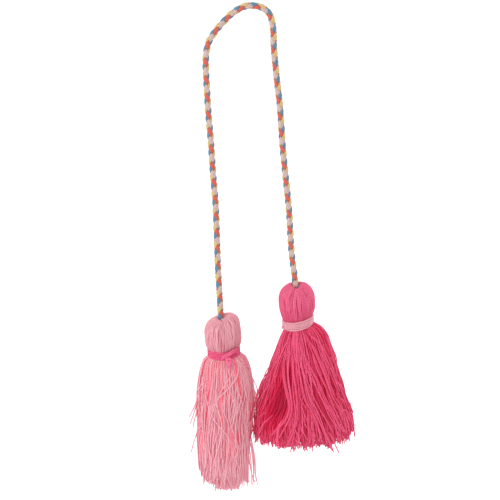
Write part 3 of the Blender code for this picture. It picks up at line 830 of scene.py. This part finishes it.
def hanging_threads(rng, cut, layer, fall):
    """Lines of a layer's threads, which hang from the neck, and how much painted shade and glow each ring
    gets, by how deep in the skirt it lies and by the folds.
    """
    count, rings, wildness = layer.count, layer.rings, layer.wildness
    turned = math.tau * ((np.arange(count) + rng.random(count) * 0.8) * GOLDEN_SHARE % 1.0)
    reach = layer.rim - layer.deep * rng.random(count) ** THREADS_OUTWARD
    own = np.stack([np.sin(turned), -np.cos(turned)], -1) * reach[:, None]

    lock_turn = math.tau * ((np.arange(cut.locks) + rng.random(cut.locks)) * GOLDEN_SHARE % 1.0)
    lock_reach = 1.0 - layer.deep * rng.random(cut.locks) ** LOCKS_OUTWARD
    lock_at = np.stack([np.sin(lock_turn), -np.cos(lock_turn)], -1) * lock_reach[:, None]
    lock = np.argmin(np.linalg.norm(own[:, None] - lock_at[None], axis=-1), axis=1)
    lock_sway = np.stack([waves(rng, cut.locks, fall, (0.8, 1.7), 0.06 * wildness) for _ in range(2)], -1)
    # Each thread is drawn to the nearest lock on its way down, and less so near the cut edge.
    cling = layer.cling * rng.uniform(0.25, 0.8, (count, 1)) * eased(fall, 0.0, 0.45)
    cling = cling * (1 - 0.35 * eased(fall, 0.7, 1.0))

    # It also sways by itself, and curls a little near the cut edge.
    own_path = np.repeat(own[:, None], rings, axis=1)
    sway = np.stack([waves(rng, count, fall, (0.8, 1.9), 0.045 * wildness) for _ in range(2)], -1)
    sway = sway + np.stack([waves(rng, count, fall, (4.0,), 0.008 * wildness) for _ in range(2)], -1)
    curl = np.stack([waves(rng, count, fall, (3.0, 5.0), 0.03) for _ in range(2)], -1)
    sway = sway + curl * eased(fall, 0.7, 1.0)[None, :, None]
    loose = eased(fall, 0.02, 0.35)[None, :, None]
    lock_path = lock_at[lock][:, None] + lock_sway[lock] * loose
    flat = own_path * (1 - cling[..., None]) + lock_path * cling[..., None] + sway * loose

    # A few threads cross the others on the outside.
    crossing = rng.random(count) < layer.crossing
    slide = np.where(crossing, rng.normal(0.0, 0.35, count), 0.0)[:, None] * eased(fall, 0.1, 1.0)
    radius, around = np.hypot(flat[..., 0], flat[..., 1]), np.arctan2(flat[..., 0], -flat[..., 1])
    around = around + slide
    radius = np.minimum(radius, max(layer.rim, 1.0)) + np.where(crossing, 0.04, 0.0)[:, None] * loose[..., 0]
    hollowed, gloom = np.zeros_like(radius), np.zeros_like(radius)
    for fold in cut.folds:
        near = np.exp(-(((around - fold.turn + math.pi) % math.tau - math.pi) / fold.width) ** 2)
        middle = (fold.top + fold.bottom) / 2
        hollow = eased(fall, fold.top, middle) * (1 - 0.8 * eased(fall, middle, fold.bottom + 0.15))
        hollowed = hollowed + fold.inward * near * hollow
        gloom = gloom + fold.gloom * near * hollow
        around = around + fold.sideways * near * eased(fall, fold.top, fold.bottom)
    in_front = rng.random((count, 1)) < IN_FRONT
    behind = np.where(in_front, 0.0, rng.uniform(LEAST_BEHIND, 1.0, (count, 1)))
    behind = (behind + INSIDE_BEHIND * (1.0 - layer.rim)) * (cut.crowded if layer.rim <= 1.0 else 0.0)
    behind = behind * (1 - eased(fall, 0.06, 0.4))
    radius = radius * (1 - hollowed - behind)
    flat = np.stack([np.sin(around), -np.cos(around)], -1) * radius[..., None]

    rise = cut.shorter_rim * np.hypot(own[:, 0], own[:, 1]) ** 4
    rise = rise + cut.shorter_left * np.maximum(0, -own[:, 0])
    rise = rise + cut.shorter_right * np.maximum(0, own[:, 0]) ** 3
    rise = rise + cut.shorter_front * np.maximum(0, -own[:, 1])
    ragged = rng.normal(0.0, cut.ragged, count) + rng.normal(0.0, cut.ragged, cut.locks)[lock]
    end = cut.bottom + rise + np.clip(ragged, CUT_LONGEST, CUT_SHORTEST)
    z = cut.top + (end - cut.top)[:, None] * fall
    x, half_width, half_depth = skirt_at(cut, z)
    across = flat[..., 0] * (half_width - YARN_HALF / MM)
    back = flat[..., 1] * (half_depth - YARN_HALF / MM)
    lifted = across * cut.lean * (1 - eased(fall, 0.05, 0.4))
    lines = np.stack([x + across, back, z + lifted], axis=-1) * MM
    # Painted shade for the threads that lie deeper in the skirt, less towards the cut edge, with the folds'
    # painted shade and glow and the painted shade of threads behind the crowd added.
    depth = (1.0 - radius) / (0.25 + 0.17 * eased(fall, 0.0, 0.4)) * (1 - 0.7 * eased(fall, 0.6, 1.0))
    own_depth = np.clip(depth, 0.0, 1.0) * rng.uniform(0.65, 0.95, (count, 1))
    return lines, own_depth + gloom + BEHIND_GLOOM * behind


# A drape that begins this near the skirt's top, in millimetres, comes out from under the binding.
FROM_BINDING = 6.0
# How full a single stray and a thread of a lock are, against the loose layer's other threads.
STRAY_FULL = 1.3
LOCK_FULL = 1.1
# A drape starts under the skirt's outside, from which it comes out again, in millimetres, and drawn in
# by a share towards the skirt's middle.
DRAPE_UNDER = 1.4
DRAPE_OUT = 1.2
DRAWN_IN = 0.12


def draped_threads(rng, cut, rings):
    """Lines of the threads that follow the drapes over the skirt's front, and how full each thread is."""
    at = np.linspace(0.0, 1.0, rings)
    lines, full = [], []
    for drape in cut.drapes:
        points = drape.points
        if points[0][1] > cut.top - FROM_BINDING:
            points = ((cut.rows[0].x + 0.5 * (points[0][0] - cut.rows[0].x), cut.top), *points)
        middle_line, _ = evenly(smooth_curve(points, 8), 4 * rings)
        for _ in range(drape.threads):
            length = 1.0 - rng.uniform(0.0, 0.08)
            places = np.linspace(0.0, 1.0, 4 * rings)
            x, z = (np.interp(at * length, places, part) for part in middle_line.T)
            x = x + rng.normal(0.0, drape.spread) * eased(at, 0.0, 0.5)
            x = x + waves(rng, 1, at, (0.9, 2.1), 0.25 * drape.spread)[0] * eased(at, 0.0, 0.3)
            middle, half_width, half_depth = skirt_at(cut, z)
            x = x - (x - middle) * DRAWN_IN * (1 - eased(at, 0.0, 0.3))
            share = np.clip((x - middle) / half_width, -0.97, 0.97)
            out = (drape.proud + DRAPE_OUT + rng.uniform(-0.3, 0.3)) * eased(at, 0.0, 0.3) - DRAPE_UNDER
            y = -(half_depth + out) * np.sqrt(1 - share**2)
            lines.append(np.stack([x, y, z], axis=-1) * MM)
            full.append(STRAY_FULL if drape.threads == 1 else LOCK_FULL)
    return np.array(lines), np.array(full)


# The rings of a thread lie closer together at its top, where it bends most.
FALL_POWER = 1.35
# The higher the power, the fewer threads are bright.  All are painted lighter near the cut edge: painted
# light where the ends hang apart.
TONE_POWER = 1.5
EDGE_BRIGHTER = 0.3
# How full a thread is inside the binding, against further down.
NECK_FULL = 0.6


def skirt_piece(rng, cut, layer, material):
    """One layer of a skirt.  The loose one carries the drapes too."""
    fall = np.linspace(0.0, 1.0, layer.rings) ** FALL_POWER
    lines, depth = hanging_threads(rng, cut, layer, fall)
    if layer.rim <= 1.0:
        tone = rng.random((layer.count, 1)) ** TONE_POWER
    else:
        # Painted light: the loose threads on the outside are all light in tone.
        tone = rng.uniform(0.7, 1.0, (layer.count, 1))
    # Painted light: every thread is lighter towards the cut edge.
    tone = np.minimum(tone + EDGE_BRIGHTER * eased(fall, 0.6, 1.0), 1.0)
    full = np.ones(layer.count)
    if layer.rim > 1.0:
        draped, drape_full = draped_threads(rng, cut, layer.rings)
        full = np.concatenate([full, drape_full])
        lines = np.concatenate([lines, draped])
        depth = np.concatenate([depth, np.zeros(draped.shape[:2])])
        draped_tone = np.broadcast_to(rng.uniform(0.3, 0.9, (len(draped), 1)), draped.shape[:2])
        tone = np.concatenate([tone, draped_tone])
    outward = lines - np.array([cut.rows[4].x * MM, 0.0, 0.0])
    outward[..., 2] = 0.0
    thinned = NECK_FULL + (1 - NECK_FULL) * eased(fall, 0.0, 0.3)
    half = layer.half * MM * full[:, None] * thinned
    made = thread_piece(
        layer.name, lines, outward, thick=half, wide=half, sides=layer.sides, tone=tone, depth=depth
    )
    made.data.materials.append(material)
    return made


rng = np.random.default_rng(12)
for cut, layers, material, node, yarn_slot in (
    (PALE_CUT, PALE_LAYERS, pale_cotton, "pale_tassel", "pale_yarn"),
    (HOT_CUT, HOT_LAYERS, hot_cotton, "hot_tassel", "hot_yarn"),
):
    for layer in layers:
        piece = skirt_piece(rng, cut, layer, material)
        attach(piece, "root")
        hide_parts(node)


# ======================================================================== the bindings
# One thread of the other tassel's yarn, wound tightly round the neck in five turns, with its ends
# knotted.  On the pale tassel the knot hangs in front and an end is tucked across the turns.  On the hot
# pink one the turns are neat, and a very small knot sits at the left.

Binding = namedtuple("Binding", "x z radius height wraps front_spread lean tilt uneven")
PALE_BINDING = Binding(-16.0, -136.7, 6.35, 3.5, 5, 0.08, 0.04, 0.10, 0.10)
HOT_BINDING = Binding(14.75, -125.25, 6.1, 3.5, 5, 0.30, 0.17, 0.20, 0.03)
RINGS_A_WRAP = 44
# Half of the wound thread's thickness outward, and across as a share of the turns' distance.
WRAP_THICK = 0.5 * MM
WRAP_HALF = 0.46
# How far the turns are sunk into the neck, and how far the thread's ends are tucked under them, in
# millimetres.
WRAP_SUNK = 0.1
ENDS_TUCKED = 0.9


def wound_thread(rng, binding):
    """The line of a thread wound round a neck from top to bottom, and half its thickness."""
    rings = RINGS_A_WRAP * binding.wraps
    at = np.linspace(0.0, 1.0, rings)
    turned = math.pi + math.tau * binding.wraps * at
    pitch = binding.height / binding.wraps
    drop = (0.5 - at) * (binding.height - pitch) + waves(rng, 1, at, (2.5, 4.2), binding.uneven)[0]
    tucked = 1 - eased(at, 0.0, 0.02) * eased(1 - at, 0.0, 0.02)
    reach = binding.radius - WRAP_SUNK - ENDS_TUCKED * tucked
    across, back = reach * np.sin(turned), -reach * np.cos(turned) * HEAD_DEPTH
    spread = 1 + binding.front_spread * np.cos(turned)
    z = binding.z + drop * spread + across * binding.lean + back * binding.tilt
    half = WRAP_HALF * pitch * (1 + binding.front_spread * 0.5 * (1 + np.cos(turned)) / 2)
    return np.stack([binding.x + across, back, z], -1)[None] * MM, half[None] * MM


def binding_piece(name, rng, binding, material):
    lines, half = wound_thread(rng, binding)
    outward = lines - np.array([binding.x * MM, 0.0, 0.0])
    outward[..., 2] = 0.0
    made = thread_piece(name, lines, outward, thick=WRAP_THICK, wide=half, sides=12, tone=0.2)
    made.data.materials.append(material)
    return made


# The wound threads are lit and shaded copies of the two yarns: a little lighter on the turns, painted light,
# and with far darker deep and hollow shade colours for painted shade between the turns.
hot_wound = cotton_yarn(
    "hot pink wound cotton", "FA7CA2", "E64E7C", "900A38", "700828", 0.04, 0.04, plies_round=3, lay=4.0
)
pale_wound = cotton_yarn(
    "pale pink wound cotton", "F6BEC8", "E49EAA", "943E54", "783848", 0.03, 0.03, plies_round=3, lay=4.0
)
pale_binding = binding_piece("pale_tassel_wraps", rng, PALE_BINDING, hot_wound)
hot_binding = binding_piece("hot_tassel_wraps", rng, HOT_BINDING, pale_wound)

# The loose ends of the binding threads, each as a line of points in millimetres.
PALE_END = (
    (-15.2, -5.8, -137.4), (-14.9, -6.6, -138.0), (-14.6, -7.0, -138.8), (-14.0, -7.2, -139.2),
    (-13.4, -7.2, -138.8), (-13.4, -7.1, -138.1), (-14.1, -7.0, -137.9), (-14.7, -7.4, -138.5),
    (-14.4, -8.0, -139.4), (-13.7, -8.2, -140.0), (-13.1, -7.9, -139.6), (-13.3, -7.6, -139.0),
    (-14.0, -7.9, -139.5), (-14.2, -8.3, -140.3), (-13.8, -8.5, -141.0), (-13.3, -8.5, -141.4),
)
PALE_ACROSS = (
    (-16.9, -6.3, -137.6), (-15.4, -6.6, -136.9), (-14.0, -6.7, -136.2), (-12.7, -6.4, -135.5),
    (-11.5, -5.8, -135.1), (-10.6, -4.9, -135.3), (-9.9, -3.9, -135.9),
)
HOT_END = (
    (9.3, -1.0, -126.4), (8.6, -1.3, -126.9), (8.2, -1.5, -127.5), (8.6, -1.4, -128.1),
)
# Threads side by side are this many half thicknesses apart, across the end's run.
BESIDE = 1.9
BESIDE_WAY = np.array([0.25, 0.0, 0.97])


def loose_end(name, points, half, threads, tone, material):
    """A thread's end along the points, or a few threads side by side."""
    line, _ = evenly(smooth_curve(points, 8) * MM, 8 * len(points))
    beside = (np.arange(threads) - (threads - 1) / 2)[:, None, None] * BESIDE * half
    lines = line[None] + beside * BESIDE_WAY
    outward = np.broadcast_to([0.0, -1.0, 0.2], lines.shape)
    made = thread_piece(name, lines, outward, thick=half, wide=half, sides=10, tone=tone)
    made.data.materials.append(material)
    return made


pale_knot = loose_end("pale_tassel_knot", PALE_END, 0.6 * MM, 1, 0.7, hot_wound)
pale_cross = loose_end("pale_tassel_tucked_end", PALE_ACROSS, 0.34 * MM, 3, 0.5, hot_wound)
hot_knot = loose_end("hot_tassel_knot", HOT_END, 0.4 * MM, 1, 0.4, pale_wound)
for piece, node, yarn_slot in (
    (pale_binding, "pale_tassel_binding", "hot_yarn"),
    (pale_knot, "pale_tassel_binding", "hot_yarn"),
    (pale_cross, "pale_tassel_binding", "hot_yarn"),
    (hot_binding, "hot_tassel_binding", "pale_yarn"),
    (hot_knot, "hot_tassel_binding", "pale_yarn"),
):
    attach(piece, "root")
    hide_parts(node)


# ======================================================================== the studio
# A plain white floor well below the tassels and white light from all round.  The key lamp stands at the
# upper left in front, a weak fill at the right in front, and soft lamps at the left, right and back.

FLOOR_LEVEL = -0.42
FLOOR_SIZE = 6.0

bm = bmesh.new()
bmesh.ops.create_circle(bm, segments=64, radius=FLOOR_SIZE, cap_ends=True)
bmesh.ops.translate(bm, verts=bm.verts, vec=(0.0, 0.0, FLOOR_LEVEL))
floor_mesh = bpy.data.meshes.new("floor")
bm.to_mesh(floor_mesh)
bm.free()
floor = bpy.data.objects.new("floor", floor_mesh)
bpy.context.scene.collection.objects.link(floor)
white_paint, tree = new_finish("matt white paint")
seen = add(tree, "LightPath", {})
lit = add(tree, "MapRange", {"Value": seen.outputs["Is Camera Ray"], "To Min": 0.0, "To Max": 0.6})
paint_shader = add(
    tree,
    "BsdfPrincipled",
    {
        "Base Color": linear("F6F6F6"),
        "Roughness": 0.9,
        "Emission Color": (1.0, 1.0, 1.0, 1.0),
        "Emission Strength": lit.outputs[0],
    },
)
add(tree, "OutputMaterial", {"Surface": paint_shader.outputs[0]})
floor.data.materials.append(white_paint)

world = bpy.data.worlds.new("white room")
world.use_nodes = True
tree = world.node_tree
tree.nodes["Background"].inputs["Color"].default_value = (1.0, 1.0, 1.0, 1.0)
seen = add(tree, "LightPath", {})
brightness = add(tree, "MapRange", {"Value": seen.outputs["Is Camera Ray"], "To Min": 0.62, "To Max": 1.05})
tree.links.new(brightness.outputs[0], tree.nodes["Background"].inputs["Strength"])
bpy.context.scene.world = world
bpy.context.scene.cycles.diffuse_bounces = 8

Lamp = namedtuple("Lamp", "name place size power")
for lamp in (
    Lamp("key lamp", (-0.4, -0.65, 0.6), 0.6, 2.8),
    Lamp("fill lamp", (0.7, -0.6, 0.1), 0.8, 1.1),
    Lamp("left lamp", (-0.8, -0.35, 0.1), 0.8, 3.3),
    Lamp("right lamp", (0.8, 0.2, 0.1), 0.8, 3.3),
    Lamp("back lamp", (0.1, 0.7, 0.5), 0.6, 1.5),
):
    light = bpy.data.lights.new(lamp.name, "AREA")
    light.size = lamp.size
    light.energy = lamp.power
    holder = bpy.data.objects.new(lamp.name, light)
    aim = VIEW_TARGET - Vector(lamp.place)
    holder.location = lamp.place
    holder.rotation_euler = aim.to_track_quat("-Z", "Y").to_euler()
    bpy.context.scene.collection.objects.link(holder)

bpy.context.scene.view_settings.view_transform = "Standard"
